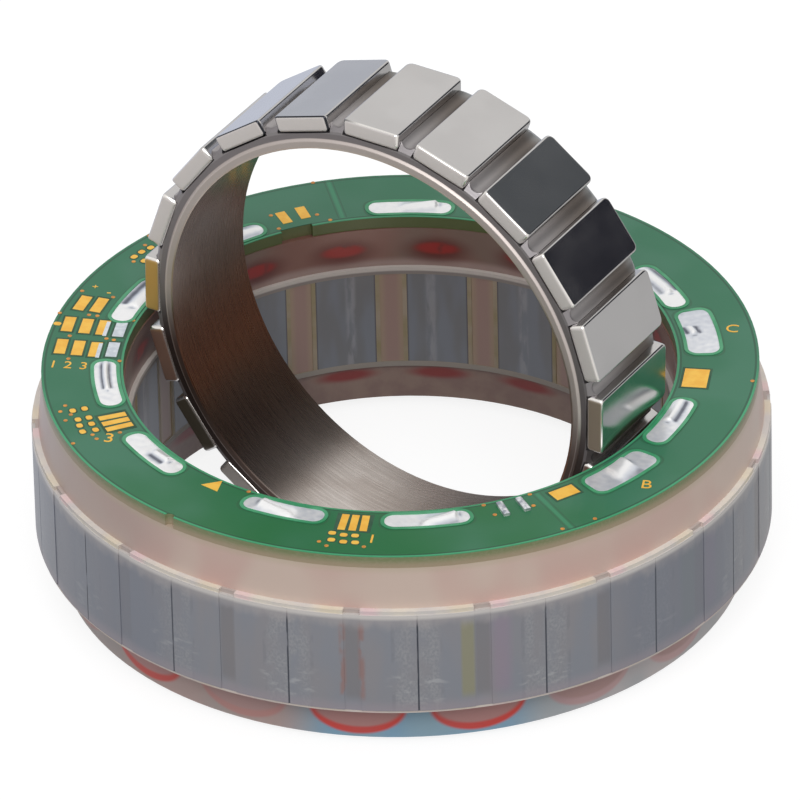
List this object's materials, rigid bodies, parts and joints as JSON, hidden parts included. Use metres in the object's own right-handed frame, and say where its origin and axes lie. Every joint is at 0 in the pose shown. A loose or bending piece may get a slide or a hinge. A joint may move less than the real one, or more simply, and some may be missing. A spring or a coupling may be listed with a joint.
{
  "type": "frameless motor",
  "caption": "Frameless torque motor kit: potted segmented stator ring with a circuit board on top, and its magnet rotor ring stood upright in the stator's bore.",
  "frame": {"origin": "on the stator's axis, on the flat underside of the potting that the stator stands on", "axes": "+Z along the stator's axis, up through the circuit board; the rotor, stood on its rim in the bore, has its own axis along Y, its near end towards -Y"},
  "size_m": [0.085, 0.085, 0.0611],
  "materials": {
    "resin": "cast potting resin, semi-gloss",
    "board": "green solder mask over glass-fibre laminate",
    "bobbin": "moulded, natural",
    "winding": "enamelled copper wire",
    "lamination": "stamped electrical steel, bare edges",
    "hub_steel": "turned",
    "magnet": "nickel plated",
    "solder": "flowed solder, bright"
  },
  "bodies": {
    "stator": {"potting": "resin", "circuit_board": "board", "bobbins": "bobbin", "coils_phase_u": "winding", "coils_phase_v": "winding", "coils_phase_w": "winding", "core_segment_01": "lamination", "core_segment_02": "lamination", "core_segment_03": "lamination", "core_segment_04": "lamination", "core_segment_05": "lamination", "core_segment_06": "lamination", "core_segment_07": "lamination", "core_segment_08": "lamination", "core_segment_09": "lamination", "core_segment_10": "lamination", "core_segment_11": "lamination", "core_segment_12": "lamination", "core_segment_13": "lamination", "core_segment_14": "lamination", "core_segment_15": "lamination", "core_segment_16": "lamination", "core_segment_17": "lamination", "core_segment_18": "lamination", "coil_solder_joints": "solder", "phase_solder_joints": "solder", "solder_bars": "solder"},
    "rotor": {"rotor_hub": "hub_steel", "magnet_01": "magnet", "magnet_02": "magnet", "magnet_03": "magnet", "magnet_04": "magnet", "magnet_05": "magnet", "magnet_06": "magnet", "magnet_07": "magnet", "magnet_08": "magnet", "magnet_09": "magnet", "magnet_10": "magnet", "magnet_11": "magnet", "magnet_12": "magnet", "magnet_13": "magnet", "magnet_14": "magnet", "magnet_15": "magnet", "magnet_16": "magnet", "magnet_17": "magnet", "magnet_18": "magnet", "magnet_19": "magnet", "magnet_20": "magnet"}
  },
  "joints": [
    {"name": "rotor_spin", "type": "hinge", "parent": "stator", "child": "rotor", "pos_m": [0.00025, 0.0006, 0.03062], "axis": [0, -1, 0], "continuous": true}
  ]
}
